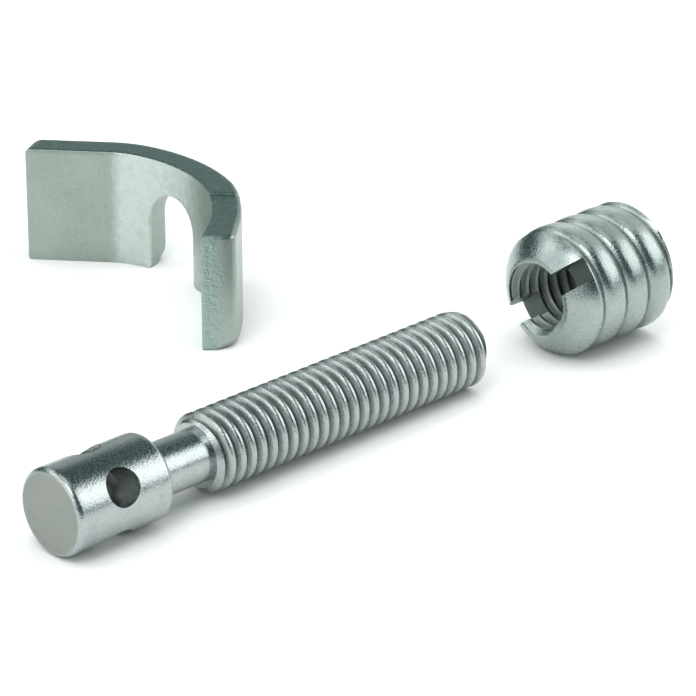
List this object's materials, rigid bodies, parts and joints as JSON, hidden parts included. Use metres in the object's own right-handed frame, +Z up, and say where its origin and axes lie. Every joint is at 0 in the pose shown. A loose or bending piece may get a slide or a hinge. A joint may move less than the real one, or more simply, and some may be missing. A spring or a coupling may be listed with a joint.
{
  "type": "cabinet connector",
  "caption": "Panel connector set: a threaded bolt with a cross-drilled head, a bent slotted hook plate and a screw-in threaded sleeve.",
  "frame": {"origin": "middle of the ground that the three loose pieces cover, on the surface that they lie on", "axes": "+X along the lying bolt from its head to its threaded end, +Z up"},
  "size_m": [0.0572, 0.0476, 0.01],
  "materials": {
    "bolt_steel": "turned steel, bright blue-passivated zinc plating, satin",
    "sleeve_steel": "turned free-cutting steel, blue-passivated zinc plating, satin",
    "plate_steel": "punched and bent steel strip, matt blue-passivated zinc plating with a fine grain"
  },
  "bodies": {
    "root": {"cross_hole_bolt": "bolt_steel", "screw_in_sleeve": "sleeve_steel", "hook_plate": "plate_steel"}
  },
  "joints": []
}
